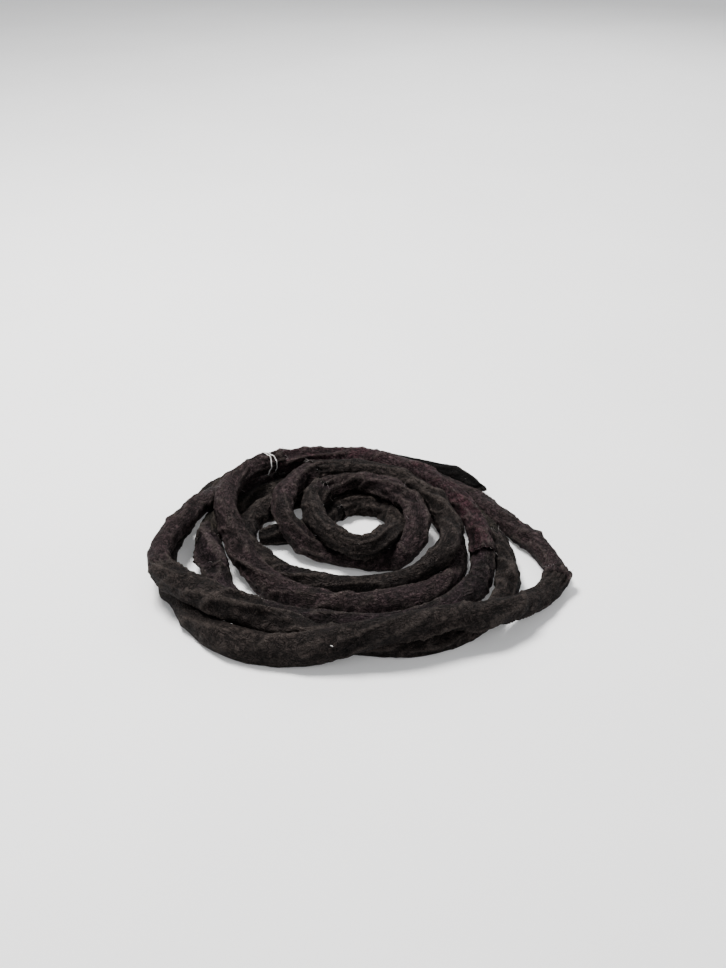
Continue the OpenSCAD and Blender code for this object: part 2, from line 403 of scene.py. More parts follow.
def cloth_material(name, main, second, stain, seed, dust=0.32):
    """Worn woven cloth: patches of colour, dusty folds with a painted highlight, painted shade between them,
    creases painted dark and a weave.
    """
    n = Nodes(name)
    shift = n.add("ShaderNodeVectorMath", operation="ADD")
    n.put(shift.inputs[0], n.add("ShaderNodeTexCoord").outputs["Object"])
    shift.inputs[1].default_value = (seed * 0.37, seed * 0.61, seed * 0.23)
    where = shift.outputs[0]
    uv = n.add("ShaderNodeUVMap", uv_map="along").outputs[0]
    relief = n.add("ShaderNodeAttribute", attribute_name="relief").outputs["Fac"]

    # Patches, faded bands, mottling and fibres
    patches = n.noise(where, 38, 4, 0.6, 0.6)
    colour = n.ramp(patches, [(0.36, main), (0.48, second), (0.6, main), (0.7, stain)])
    broad = n.noise(n.scaled(uv, (9, 60, 1)), 1.0, 4, 0.6)
    colour = n.mix(n.ramp(broad, [(0.42, grey(0)), (0.62, grey(0.75))]), colour, (*second, 1))
    fine = n.noise(where, 420, 3, 0.65)
    middling = n.noise(where, 150, 4, 0.65, 0.8)
    colour = n.shade(colour, fine, [(0.3, 0.75), (0.7, 1.3)])
    colour = n.shade(colour, middling, [(0.32, 0.68), (0.68, 1.35)])
    fibres = n.noise(n.scaled(uv, (260, 1500, 1)), 1.0, 2, 0.5)
    colour = n.shade(colour, fibres, [(0.3, 0.75), (0.7, 1.25)])
    # Sharp creases where a noise crosses its middle, painted dark as shade in the crease
    crease = n.math("ABSOLUTE", n.math("SUBTRACT", n.noise(where, 190, 3, 0.6, 1.2), 0.5))
    slashes = n.noise(n.scaled(uv, (90, 260, 1)), 1.0, 3, 0.6, 1.0)
    slash = n.math("ABSOLUTE", n.math("SUBTRACT", slashes, 0.5))
    line = n.math("MINIMUM", crease, slash)
    colour = n.shade(colour, line, [(0.0, 0.15), (0.05, 1)])
    # Dust and a painted highlight on what stands out, painted shade in what lies deep
    lift = n.math("ADD", relief, n.math("MULTIPLY", n.math("SUBTRACT", fine, 0.5), 0.9))
    worn = n.ramp(lift, [(0.6, grey(0)), (1.05, grey(dust))])
    colour = n.mix(worn, colour, (*DUST, 1))
    # Painted shade: darker where the cloth lies deep between its folds
    colour = n.shade(colour, relief, [(0.05, 0.5), (0.45, 1)])

    # Height: weave, fluff, crumbs, creases and crackle
    crackle = n.math("ABSOLUTE", n.math("SUBTRACT", fine, 0.5))
    layers = (
        (n.noise(where, 900, 3, 0.7), 0.4),
        (n.noise(where, 380, 4, 0.65), 0.6),
        (n.math("MINIMUM", line, 0.12), 9.0),
        (n.math("MINIMUM", crackle, 0.1), 4.5),
    )
    height = n.math("MULTIPLY", weave_height(n, uv), 0.16)
    for layer, amount in layers:
        height = n.math("ADD", height, n.math("MULTIPLY", layer, amount))
    normal = n.bump(height, 1.0, 1.3 * MM)
    rough = n.ramp(middling, [(0.3, grey(0.6)), (0.7, grey(0.85))])
    return n.surface(colour, rough, normal, Specular_IOR_Level=0.05, Sheen_Weight=0.005, Sheen_Roughness=0.5)


def yarn_material(name, dark, light):
    """Fibrous yarn or laid rope, with painted shade in its grooves."""
    n = Nodes(name)
    uv = n.add("ShaderNodeUVMap", uv_map="along").outputs[0]
    relief = n.add("ShaderNodeAttribute", attribute_name="relief").outputs["Fac"]
    fibres = n.noise(n.scaled(uv, (900, 4000, 1)), 1.0, 3, 0.6)
    colour = n.ramp(fibres, [(0.3, dark), (0.7, light)])
    # Painted shade: darker in the grooves between the plies
    colour = n.shade(colour, relief, [(0.1, 0.4), (0.6, 1)])
    rough = n.ramp(fibres, [(0.3, grey(0.7)), (0.7, grey(0.9))])
    return n.surface(colour, rough, n.bump(fibres, 0.6, 0.15 * MM), Sheen_Weight=0.2)


# ---------------------------------------------------------------- noise on a tube


def lattice_noise(rng, along, around, cells_around):
    """Smooth random values, 0 to 1. along counts cells along the tube; around is 0 to 1 and wraps."""
    rows = int(np.ceil(along.max() - along.min())) + 4
    grid = rng.random((rows, cells_around))
    a = along - along.min() + 1
    b = (around % 1.0) * cells_around
    i, j = np.floor(a).astype(int), np.floor(b).astype(int)
    u, v = a - i, b - j
    u, v = u * u * (3 - 2 * u), v * v * (3 - 2 * v)
    i1, j0, j1 = i + 1, j % cells_around, (j + 1) % cells_around
    low = grid[i, j0] * (1 - v) + grid[i, j1] * v
    high = grid[i1, j0] * (1 - v) + grid[i1, j1] * v
    return low * (1 - u) + high * u


def ridged(values, sharp=1.0):
    return (1 - np.abs(2 * values - 1)) ** sharp


def bump_at(s, middle, width):
    return np.exp(-0.5 * ((s - middle) / width) ** 2)


def ramp_up(s, start, end):
    t = np.clip((s - start) / (end - start), 0, 1)
    return t * t * (3 - 2 * t)


# ---------------------------------------------------------------- cloth tubes

# Centre line of the whole rope, for keeping strands out of each other
TREE_EVERY = 2
TREE = KDTree(len(LINE[::TREE_EVERY]))
for _i, _p in enumerate(LINE[::TREE_EVERY]):
    TREE.insert(_p, _i)
TREE.balance()
FLOOR_GAP = 0.05 * MM
NEAR = 17 * MM
SAME_STRAND = 32 * MM
CONTACT_GAP = 0.08 * MM


def room_around(index, normals):
    """The furthest each direction may reach before it crosses into the next strand or the floor."""
    centre = LINE[index]
    limit = np.full(len(normals), 20 * MM)
    down = -normals[:, 2]
    under = down > 1e-3
    limit[under] = np.minimum(limit[under], (centre[2] - FLOOR_GAP) / down[under])
    for place, i, distance in TREE.find_range(centre, NEAR):
        if abs(S[i * TREE_EVERY] - S[index]) < SAME_STRAND:
            continue
        way = (np.array(place) - centre) / distance
        facing = normals @ way
        ahead = facing > 0.15
        limit[ahead] = np.minimum(limit[ahead], (distance / 2 - CONTACT_GAP) / facing[ahead])
    return limit


def loop_vertices(mesh):
    """The vertex of each corner of each face."""
    loops = np.empty(len(mesh.loops), int)
    mesh.loops.foreach_get("vertex_index", loops)
    return loops


def set_uv(mesh, u, v):
    """Lengths along and round a piece, in metres, for its weave and fibres."""
    layer = mesh.uv_layers.new(name="along")
    layer.data.foreach_set("uv", np.stack([u, v], axis=1).astype(np.float32).ravel())


def set_relief(mesh, values):
    mesh.attributes.new("relief", "FLOAT", "POINT").data.foreach_set("value", values)


def new_object(mesh):
    mesh.polygons.foreach_set("use_smooth", [True] * len(mesh.polygons))
    obj = bpy.data.objects.new(mesh.name, mesh)
    bpy.context.collection.objects.link(obj)
    return obj


def tube_mesh(name, centres, radii, sides, ups, relief=None, close=(False, False), lengths=None):
    """A tube of rings. radii is one row per ring, one column per direction."""
    rings, around = radii.shape
    angles = (np.arange(around) / around * 2 * math.pi)[None, :, None]
    normals = np.cos(angles) * sides[:, None, :] + np.sin(angles) * ups[:, None, :]
    points = (centres[:, None, :] + radii[:, :, None] * normals).reshape(-1, 3)
    i, k = np.meshgrid(np.arange(rings - 1), np.arange(around), indexing="ij")
    k1 = (k + 1) % around
    quads = np.stack([i * around + k, i * around + k1, (i + 1) * around + k1, (i + 1) * around + k], axis=-1)
    faces = quads.reshape(-1, 4).tolist()
    verts = points.tolist()
    for end, wanted in enumerate(close):
        if wanted:
            ring = list(range(around)) if end == 0 else [(rings - 1) * around + j for j in range(around)]
            verts.append(points[ring].mean(0).tolist())
            hub = len(verts) - 1
            for j in range(around):
                a, b = ring[j], ring[(j + 1) % around]
                faces.append([hub, b, a] if end == 0 else [hub, a, b])
    mesh = bpy.data.meshes.new(name)
    mesh.from_pydata(verts, [], faces)
    along = arc(centres) if lengths is None else lengths
    girth = float(np.mean(radii)) * 2 * math.pi
    loops = loop_vertices(mesh)
    row = np.minimum(loops // around, rings - 1)
    column = loops % around
    # In the faces that close the ring, the first column counts as the far end of the girth
    in_quads = (rings - 1) * around * 4
    corners = column[:in_quads].reshape(-1, 4)
    closing = (corners.max(axis=1) == around - 1) & (corners.min(axis=1) == 0)
    wraps = np.zeros(len(loops), bool)
    wraps[:in_quads] = np.repeat(closing, 4)
    v = np.where(wraps & (column == 0), 1.0, column / around)
    set_uv(mesh, along[row], v * girth)
    values = np.full(len(mesh.vertices), 0.5, np.float32)
    if relief is not None:
        values[: rings * around] = relief.ravel()
    set_relief(mesh, values)
    mesh.validate()
    return new_object(mesh)


def blur_around(values, sigma):
    reach = int(3 * sigma)
    out = np.zeros_like(values)
    total = 0
    for d in range(-reach, reach + 1):
        w = math.exp(-0.5 * (d / sigma) ** 2)
        out += w * np.roll(values, d, axis=1)
        total += w
    return out / total


def relief_of(radii, depth=1.3 * MM):
    """How far each point stands out of the smoothed surface, 0 to 1 with 0.5 level."""
    level = smooth_along(blur_around(radii, 3.2), 3.2)
    return np.clip(0.5 + (radii - level) / depth, 0, 1)


# How each length of cloth hangs on the rope: its ends, material, thickness, folds and wrinkles.
# laps is +1 where an end goes over its neighbour, -1 where it is tucked under, 0 where it is free.
# bunches, pinches and loose places are each a place, a width and a depth, both in mm.
CLOTHS = {}
SURFACES = {}

LAP = 6 * MM
RIM_GATHER = 12 * MM
TUCK_DEPTH = 1.1 * MM
# Cloth starts to give this far before it meets its neighbour
SOFT = 0.25 * MM


def cloth(name, start, end, material, radius=6.3, folds=0.8, puckers=1.0, wrinkles=0.35, seam=None,
          laps=(1, -1), bunches=(), pinches=(), loose=(), close=False, seed=1):
    CLOTHS[name] = dict(locals())


def cloth_surface(name):
    """Rings of one length of cloth: indices on the line, radii and relief. Each is worked out once."""
    if name not in SURFACES:
        SURFACES[name] = shape_cloth(CLOTHS[name])
    return SURFACES[name]


def add_folds(radii, rng, c, s, turn, drift):
    """Long folds that run with the rope and wander round it, then crumples and slanted wrinkles."""
    amount = lattice_noise(rng, s / (45 * MM) + 0 * turn, turn + 0 * s, 3)
    long_folds = ridged(lattice_noise(rng, s / (32 * MM) + 0 * turn, turn + drift, 6), 3.0)
    radii += c["folds"] * 2.5 * MM * (long_folds - 0.3) * (0.3 + amount)
    slanted = ridged(lattice_noise(rng, s / (14 * MM) + 2.4 * turn, turn + drift, 6), 3.0)
    share = lattice_noise(rng, s / (30 * MM) + 0 * turn, turn + 0 * s, 3)
    radii += c["folds"] * 3.0 * MM * (slanted - 0.3) * share
    crumples = ridged(lattice_noise(rng, s / (4.6 * MM) + 1.2 * turn, turn + drift, 9), 2.2)
    radii += c["wrinkles"] * 1.6 * MM * (crumples - 0.35) * (0.3 + amount)
    tiny = lattice_noise(rng, s / (2.2 * MM) + 0 * turn, turn + drift, 19)
    radii += 0.15 * MM * (tiny - 0.5)
    wrinkles = ridged(lattice_noise(rng, s / (5.5 * MM) + 2.4 * turn, turn + 0 * s, 6), 2)
    share = lattice_noise(rng, s / (16 * MM) + 0 * turn, turn + 0 * s, 4) ** 2
    radii += c["wrinkles"] * 3.6 * MM * (wrinkles - 0.35) * share


def add_puckers(radii, rng, c, s, turn, bend, normals):
    """Puckers across the inside of each bend."""
    angle = turn * 2 * math.pi
    strength = np.clip((np.linalg.norm(bend, axis=1) - 9) / 26, 0, 1.1)[:, None]
    inwards = np.clip((normals * unit(bend)[:, None, :]).sum(-1) + 0.3, 0, 1) ** 1.3
    waves = s / (4.4 * MM) + 0.9 * np.sin(angle * 2)
    cross = ridged(lattice_noise(rng, waves, turn + 0 * s, 5), 1.3)
    radii += c["puckers"] * 1.1 * MM * (cross - 0.5) * strength * inwards


def add_bunches(radii, rng, c, s, turn):
    """Bunched places with deep slanted folds, and places pinched by a thread."""
    for middle, width, depth in c["bunches"]:
        deep = ridged(lattice_noise(rng, s / (4.6 * MM) + 3.2 * turn, turn + 0 * s, 5), 1.2)
        fill = bump_at(s, at(middle), width * MM)
        radii += depth * MM * ((deep - 0.45) * fill + 0.25 * fill)
    angle = turn * 2 * math.pi
    for middle, width, depth in c["pinches"]:
        radii -= depth * MM * bump_at(s, at(middle), width * MM)
        gather = np.sin(angle * 11 + 2 * np.sin(angle * 2))
        radii += 0.22 * depth * MM * gather * bump_at(s, at(middle), 3.2 * width * MM)


def add_seam(radii, c, s, turn):
    """A sewn seam: a narrow standing edge with stitches and a groove on each side."""
    where = math.radians(c["seam"]) + 0.35 * np.sin(s / (38 * MM)) + 0.12 * np.sin(s / (11 * MM))
    off = (turn * 2 * math.pi - where + math.pi) % (2 * math.pi) - math.pi
    edge = np.exp(-0.5 * (off * c["radius"] / 0.55) ** 2)
    stitch = 0.75 + 0.25 * np.cos(s / (2.6 * MM) * 2 * math.pi)
    radii += 0.75 * MM * edge * stitch
    radii -= 0.28 * MM * np.exp(-0.5 * ((np.abs(off) * c["radius"] - 1.7) / 0.6) ** 2)


def shape_ends(radii, rng, c, s, turn, edges):
    """Ends: gathered into a rim, tucked under the next length, or drawn in a little."""
    angle = turn * 2 * math.pi
    for lap, edge, sign in zip(c["laps"], edges, (-1, 1)):
        away = (s - edge) * sign
        if lap > 0:
            pleats = np.sin(angle * 13 + rng.random() * 6 + 1.5 * np.sin(angle * 3))
            radii += ramp_up(away, -RIM_GATHER, 0) * (0.55 + 0.5 * pleats) * MM
        elif lap < 0:
            radii -= ramp_up(away, -2.5 * MM, 1.5 * MM) * TUCK_DEPTH
        else:
            radii -= ramp_up(away, -5 * MM, 0) * 0.8 * MM


def press(radii, limit):
    """Flattens the cloth softly where it meets the next strand or the floor."""
    soft = limit - SOFT
    over = np.clip(radii - soft, 0, None)
    radii = np.where(radii > soft, soft + SOFT * (1 - np.exp(-over / SOFT)), radii)
    calm = smooth_along(blur_around(radii, 0.8), 1.2)
    share = smooth_along(blur_around(np.clip(over / (0.3 * MM), 0, 1), 1.0), 1.5)
    return np.minimum(radii + share * (calm - radii), limit)


def shape_cloth(c):
    """Works out one length of cloth."""
    rng = np.random.default_rng(c["seed"] * 101 + 7)
    edges = at(c["start"]), at(c["end"])
    begin = edges[0] - LAP * abs(c["laps"][0])
    finish = edges[1] + LAP * abs(c["laps"][1])
    picked = np.where((S >= begin - 1e-9) & (S <= finish + 1e-9))[0]
    s = S[picked][:, None]
    turn = (np.arange(AROUND) / AROUND)[None, :]
    angle = turn * 2 * math.pi
    sides, ups = SIDE[picked], UP[picked]
    normals = np.cos(angle)[:, :, None] * sides[:, None, :] + np.sin(angle)[:, :, None] * ups[:, None, :]

    radii = np.full((len(picked), AROUND), c["radius"] * MM)
    radii += 0.9 * MM * (lattice_noise(rng, s / (34 * MM) + 0 * turn, turn + 0 * s, 3) - 0.5)
    wander = lattice_noise(rng, s / (60 * MM) + 0 * turn, 0 * turn + 0 * s, 1)
    drift = 0.25 * (wander - 0.5) + s / (260 * MM)
    for middle, width, extra in c["loose"]:
        radii += extra * MM * bump_at(s, at(middle), width * MM)
    add_folds(radii, rng, c, s, turn, drift)
    add_puckers(radii, rng, c, s, turn, BEND[picked], normals)
    add_bunches(radii, rng, c, s, turn)
    if c["seam"] is not None:
        add_seam(radii, c, s, turn)
    shape_ends(radii, rng, c, s, turn, edges)
    free = radii
    limit = np.stack([room_around(index, normals[row]) for row, index in enumerate(picked)])
    radii = press(free, limit)
    # Painted contact shade: the relief is lowered where the cloth presses on the next strand or the floor,
    # so the material darkens it there
    pressed = np.clip((free - radii) / (1.2 * MM), 0, 1)
    relief = np.clip(relief_of(free) - 0.25 * pressed, 0, 1)
    return rng, picked, radii, sides, ups, relief


def ragged(rng, amount):
    """An uneven, torn edge: how far each direction's last ring is moved along the rope."""
    turn = np.arange(AROUND) / AROUND
    zero = np.zeros(AROUND)
    wide = lattice_noise(rng, zero, turn, 7)
    fine = lattice_noise(rng, zero, turn, 23)
    return amount * (wide - 0.4 + 0.6 * (fine - 0.5))


# The rim's own edge: how far each extra ring lies inside the last one, and which ring it lies under
EDGE_RINGS = ((0, -0.32 * MM), (2, -0.75 * MM))
CLOSED_END_RINGS = 5
TEAR = 3.0 * MM
TORN_RINGS = 9


def add_ring(order, end, **ring):
    """Adds one ring before the first or after the last."""
    for key, value in ring.items():
        value = np.asarray(value)[None]
        order[key] = np.concatenate([value, order[key]] if end == 0 else [order[key], value])


def turn_in_rims(order, laps, centres, sides, ups, lengths):
    """Two rings at each outer edge turn in under the rim, so the cloth has a thickness."""
    radii, relief = order["radii"], order["relief"]
    for end in (0, 1):
        if laps[end] <= 0:
            continue
        last = -end
        for under, drop in EDGE_RINGS:
            pick = under if end == 0 else -1 - under
            # The turned-in rings get half the relief, which the material paints as shade under the rim
            add_ring(order, end, centres=centres[pick], radii=radii[last] + drop, sides=sides[pick],
                     ups=ups[pick], relief=relief[last] * 0.5, lengths=lengths[pick])


def tear_rims(obj, rng, laps, rings, ways):
    """Moves the rings next to an outer edge along the rope, by an uneven amount."""
    co = np.empty(len(obj.data.vertices) * 3)
    obj.data.vertices.foreach_get("co", co)
    co = co.reshape(-1, 3)
    for end in (0, 1):
        if laps[end] <= 0:
            continue
        tear = ragged(rng, TEAR)
        for step in range(TORN_RINGS):
            ring = step if end == 0 else rings - 1 - step
            share = max(0.0, 1 - max(0, step - 2) / 6) ** 1.5
            rows = slice(ring * AROUND, (ring + 1) * AROUND)
            co[rows] += (tear * share)[:, None] * ways[end][None, :]
    co[:, 2] = np.maximum(co[:, 2], FLOOR_GAP)
    obj.data.vertices.foreach_set("co", co.ravel())
    obj.data.update()


def dress(obj, material, nodes, body=None):
    """Gives a piece its material and slot, the nodes it stands for and the body it rides."""
    obj.data.materials.append(MATERIALS[material])
    if nodes:
        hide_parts(*nodes)
    if body is not None:
        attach(obj, body)
    PIECES[obj.name] = obj


def make_cloth(name):
    c = CLOTHS[name]
    rng, picked, radii, sides, ups, relief = cloth_surface(name)
    centres, lengths, tangents = LINE[picked], S[picked], TANGENT[picked]
    order = dict(centres=centres, radii=radii, sides=sides, ups=ups, relief=relief, lengths=lengths)
    turn_in_rims(order, c["laps"], centres, sides, ups, lengths)
    if c["close"]:
        # The closed end reaches on past the rope in it, and narrows
        for step in range(1, CLOSED_END_RINGS + 1):
            beyond, narrower = step * STEP, 1 - 0.012 * step**2
            add_ring(order, 1, centres=centres[-1] + tangents[-1] * beyond, radii=radii[-1] * narrower,
                     sides=sides[-1], ups=ups[-1], relief=relief[-1], lengths=lengths[-1] + beyond)
    obj = tube_mesh(name, order["centres"], order["radii"], order["sides"], order["ups"], order["relief"],
                    (False, c["close"]), order["lengths"])
    tear_rims(obj, rng, c["laps"], len(order["centres"]), (-tangents[0], tangents[-1]))
    nodes = [name.replace("cloth_", "cover_")]
    if c["close"]:
        nodes.append("inner_end_plug")
    dress(obj, c["material"], nodes, "root")


PIECES = {}
MATERIALS = {
    "grey": cloth_material("cloth_grey", CHARCOAL, TAUPE, PLUM, 1),
    "mauve": cloth_material("cloth_mauve", TAUPE, MAUVE, CHARCOAL, 2),
    "olive": cloth_material("cloth_olive", OLIVE, CHARCOAL, TAUPE, 3),
    "dark": cloth_material("cloth_dark", SOOT, CHARCOAL, SOOT, 4),
    # The tail's cloth gets only a little dusting and painted highlight
    "pitch": cloth_material("cloth_pitch", PITCH, SOOT, PITCH, 7, dust=0.04),
    "plum": cloth_material("cloth_plum", PLUM, CHARCOAL, MAUVE, 6),
    "burgundy": cloth_material("cloth_burgundy", BURGUNDY, MAUVE, SOOT, 5),
    "rope": yarn_material("laid_rope", (0.10, 0.08, 0.055), (0.30, 0.25, 0.18)),
    "thread": yarn_material("white_thread", (0.55, 0.54, 0.52), (0.85, 0.84, 0.82)),
    "lint": yarn_material("frayed_threads", (0.06, 0.05, 0.05), (0.20, 0.18, 0.17)),
}

# ---------------------------------------------------------------- the rope inside

CORE_SIDES = 18
CORE_RING_GAP = 1.8 * MM
CORE_LAY = 24 * MM
# Where the rope's three stretches start; the two bends of the tail lie inside the last two
ROPE_START, TAIL_START, TIP_START = 4.3, 2.55, 0.2
# The rope is thinner before this place, inside the flattened cloth of the tip
THIN_UNTIL = 1.4
BEND_REACH = 8 * MM


def laid_rope(name, node, start, end, thin_until=None):
    """Three strands laid round each other, thinner before the place thin_until."""
    s = np.arange(at(start), at(end), CORE_RING_GAP)
    index = np.clip(np.round(s / S[-1] * (len(S) - 1)).astype(int), 0, len(S) - 1)
    angle = np.arange(CORE_SIDES) / CORE_SIDES * 2 * math.pi
    twist = s[:, None] / CORE_LAY * 2 * math.pi
    lobes = np.abs(np.cos(1.5 * (angle[None, :] + twist)))
    radii = CORE_R * (0.84 + 0.16 * lobes**0.7)
    if thin_until is not None:
        radii = radii * (0.55 + 0.45 * ramp_up(s, 0, at(thin_until)))[:, None]
    obj = tube_mesh(name, LINE[index], radii, SIDE[index], UP[index], lobes, (True, True))
    dress(obj, "rope", [node])
    return obj, LINE[index]


def bend_between(obj, a, b, hinge_place):
    """Finds the ends of the 16 mm round a bend of the tail, then bakes the piece's place into its mesh."""
    s = at(hinge_place)
    ends = []
    for d in (BEND_REACH, -BEND_REACH):
        ends.append(tuple(float(np.interp(s + d, S, LINE[:, k])) for k in range(3)))
    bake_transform(obj)


rope, rope_path = laid_rope("rope_main", "rope_core", ROPE_START, LAST)
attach(rope, "root")
rope_a, _ = laid_rope("rope_tail_a", "tail_core", TAIL_START, ROPE_START)
bend_between(rope_a, "root", "tail", TAIL_BEND)
rope_b, _ = laid_rope("rope_tail_b", "tail_tip_core", TIP_START, TAIL_START, THIN_UNTIL)
bend_between(rope_b, "tail", "tail_tip", TIP_BEND)

# ---------------------------------------------------------------- the cloths

PINCH = (BINDING, 2.4, 0.9)

cloth("cloth_tail", 0, 5.5, "pitch", radius=5.0, folds=0.6, puckers=0.5, laps=(0, -1), seed=11)
cloth("cloth_outer_turn", 5.2, RIGHT_LOOP, "grey", radius=6.0, folds=0.75, puckers=0.5, wrinkles=0.3,
      laps=(1, 1), loose=((17.0, 48, 2.5), (21.0, 50, 0.7), (6.5, 40, -0.9)), seed=12)
cloth("cloth_right_loop", RIGHT_LOOP, LEFT_SIDE, "mauve", radius=6.0, folds=0.6, puckers=1.3,
      laps=(-1, 1), bunches=((28.6, 4, 1.3), (42, 12, 1.1)), seed=13)
cloth("cloth_left_front", LEFT_SIDE, FLAP, "grey", radius=6.1, folds=1.0, puckers=0.8,
      laps=(-1, 1), bunches=((57.6, 7, 1.6),), loose=((49.5, 40, 1.9),), seed=14)
cloth("cloth_third_turn", FLAP, BUNCHED, "olive", radius=5.95, puckers=0.8, laps=(-1, 1), seed=15)
cloth("cloth_left_bunched", BUNCHED, RIGHT_RED, "plum", radius=5.95, puckers=1.5, laps=(-1, -1),
      bunches=((72.5, 16, 2.4), (82.3, 6, 1.2)), loose=((73, 18, 1.2),), seed=16)
cloth("cloth_right_red", RIGHT_RED, BINDING, "burgundy", radius=5.95, puckers=0.8, laps=(1, -1),
      pinches=(PINCH,), seed=17)
cloth("cloth_arch", BINDING, ARCH_END, "mauve", radius=6.0, folds=0.7, puckers=0.8, wrinkles=0.5,
      laps=(1, 1), pinches=(PINCH,), loose=((103, 45, 1.4),), seed=18)
cloth("cloth_fifth_turn", ARCH_END, FOLD, "grey", radius=5.95, folds=0.75, laps=(-1, 1), seed=19)
cloth("cloth_sixth_turn", FOLD, PUCKER, "mauve", radius=5.95, puckers=1.1, laps=(-1, 1),
      bunches=((149.6, 5, 1.4),), seed=20)
cloth("cloth_inner_turn", PUCKER, INNER_CREASE, "grey", radius=5.95, puckers=1.2, laps=(-1, 1),
      seam=95, seed=21)
# The end lies on the floor in the shade under the innermost turn; its near-black soot cloth is painted shade
cloth("cloth_inner_end", INNER_CREASE, LAST, "dark", radius=5.8, laps=(-1, 0), close=True, seed=22)

for _name in CLOTHS:
    if _name != "cloth_tail":
        make_cloth(_name)

# Where the tail's cloth starts to flatten, by how much, and where its two lengths meet
FLATTEN_FROM, FLATTEN, WIDEN = 0.9, 0.42, 0.06
TAIL_CUT = 2.5


def make_tail():
    """The tail's cloth, in two lengths that meet at one ring between its two bends."""
    _, picked, radii, _, _, relief = cloth_surface("cloth_tail")
    flatten = ramp_up(-S[picked][:, None], -at(FLATTEN_FROM), 0)
    angle = np.arange(AROUND) / AROUND * 2 * math.pi
    radii = radii * (1 - flatten * (FLATTEN * np.sin(angle)[None, :] ** 2 - WIDEN))
    cut = int(np.argmin(np.abs(S[picked] - at(TAIL_CUT))))
    halves = (
        ("cloth_tail_tip", slice(0, cut + 1), "cover_tail_tip", "tail", "tail_tip", TIP_BEND),
        ("cloth_tail_root", slice(cut, None), "cover_tail", "root", "tail", TAIL_BEND),
    )
    for name, rows, node, a, b, hinge in halves:
        p = picked[rows]
        close = (rows.start == 0, False)
        obj = tube_mesh(name, LINE[p], radii[rows], SIDE[p], UP[p], relief[rows], close, S[p])
        dress(obj, "pitch", [node])
        bend_between(obj, a, b, hinge)


make_tail()

# ---------------------------------------------------------------- hems

HEM_HALF = 3.2 * MM
# How far the middle of a hem lies inside the end of its cloth
HEM_INSET = 3.4 * MM
HEM_TEAR = 1.6 * MM


def make_hem(name, end, material, wearer, seed):
    """A frayed, gathered band at the rim of the cloth that laps over."""
    rng = np.random.default_rng(seed)
    _, picked, radii, _, _, _ = cloth_surface(wearer)
    length = S[picked]
    away = length - (length[-1] - HEM_INSET if end == 1 else length[0] + HEM_INSET)
    rows = np.where(np.abs(away) <= HEM_HALF)[0]
    turn = np.arange(AROUND) / AROUND
    angle = turn * 2 * math.pi
    across = away[rows][:, None] / HEM_HALF
    band = radii[rows] + 0.75 * MM * (1 - across**4) - 0.15 * MM
    band += 0.28 * MM * np.sin(angle * 15 + 3 * np.sin(angle * 2) + across * 1.5)
    fuzz = lattice_noise(rng, length[rows][:, None] / (1.6 * MM) + 0 * turn, turn + 0 * across, 26)
    band += 0.3 * MM * (fuzz - 0.5)
    p = picked[rows]
    for k, index in enumerate(p):
        normals = np.cos(angle)[:, None] * SIDE[index] + np.sin(angle)[:, None] * UP[index]
        band[k] = np.minimum(band[k], room_around(index, normals))
    obj = tube_mesh(name, LINE[p], band, SIDE[p], UP[p], relief_of(band), (False, False), S[p])
    tear = ragged(rng, HEM_TEAR)
    co = np.empty(len(obj.data.vertices) * 3)
    obj.data.vertices.foreach_get("co", co)
    co = co.reshape(len(rows), AROUND, 3)
    for k, index in enumerate(p):
        share = max(0.0, abs(float(across[k, 0])) - 0.35) / 0.65
        co[k] += (tear * share * np.sign(across[k, 0]))[:, None] * TANGENT[index][None, :]
    obj.data.vertices.foreach_set("co", co.ravel())
    dress(obj, material, [name.replace("rim_", "hem_")], "root")


make_hem("rim_right_loop", 1, "mauve", "cloth_outer_turn", 31)
make_hem("rim_left_side", 1, "grey", "cloth_right_loop", 32)
make_hem("rim_right_red", 0, "burgundy", "cloth_right_red", 33)
make_hem("rim_left_bunched", 1, "dark", "cloth_third_turn", 34)

# ---------------------------------------------------------------- thread

THREAD_R = 0.34 * MM
THREAD_GAP = 2.6 * MM
THREAD_SHIFT = 3.0 * MM
THREAD_LEAN = 1.1 * MM
THREAD_LIFT = 0.3 * MM
THREAD_SIDES = 10
THREAD_RING_GAP = 0.3 * MM
THREAD_LAY = 2.2 * MM
THREAD_END_LENGTH = 9 * MM


def thread_tube(name, path, node, closed):
    """Two-ply twisted thread along a path."""
    path = np.asarray(path)
    if closed:
        path = np.vstack([path, path[:1]])
    s = arc(path)
    want = np.linspace(0, s[-1], int(s[-1] / THREAD_RING_GAP))
    path = np.stack([np.interp(want, s, path[:, k]) for k in range(3)], axis=1)
    tangent = unit(np.gradient(path, axis=0))
    if closed:
        tangent[0] = tangent[-1] = unit(path[1] - path[-2])
    side = unit(np.cross(tangent, path - path.mean(0)))
    up = np.cross(side, tangent)
    angle = np.arange(THREAD_SIDES) / THREAD_SIDES * 2 * math.pi
    turns = max(1, round(want[-1] / THREAD_LAY))
    twist = want[:, None] / want[-1] * 2 * math.pi * turns
    lobes = np.abs(np.cos(angle[None, :] + twist))
    obj = tube_mesh(name, path, THREAD_R * (0.72 + 0.28 * lobes), side, up, lobes, (True, True))
    dress(obj, "thread", [node], "root")


def skin_ring(wearer, s_ring, lean):
    """Points round a strand, a little above its cloth, leaning along the rope."""
    _, picked, radii, _, _, _ = cloth_surface(wearer)
    points = []
    for j in range(AROUND):
        a = j / AROUND * 2 * math.pi
        here = s_ring + lean * math.sin(a)
        row = int(np.clip(np.searchsorted(S[picked], here), 0, len(picked) - 1))
        index = picked[row]
        r = radii[row, j] + THREAD_LIFT
        points.append(LINE[index] + r * (math.cos(a) * SIDE[index] + math.sin(a) * UP[index]))
    points = np.array(points)
    for _ in range(2):
        points = (np.roll(points, 1, 0) + 2 * points + np.roll(points, -1, 0)) / 4
    return points


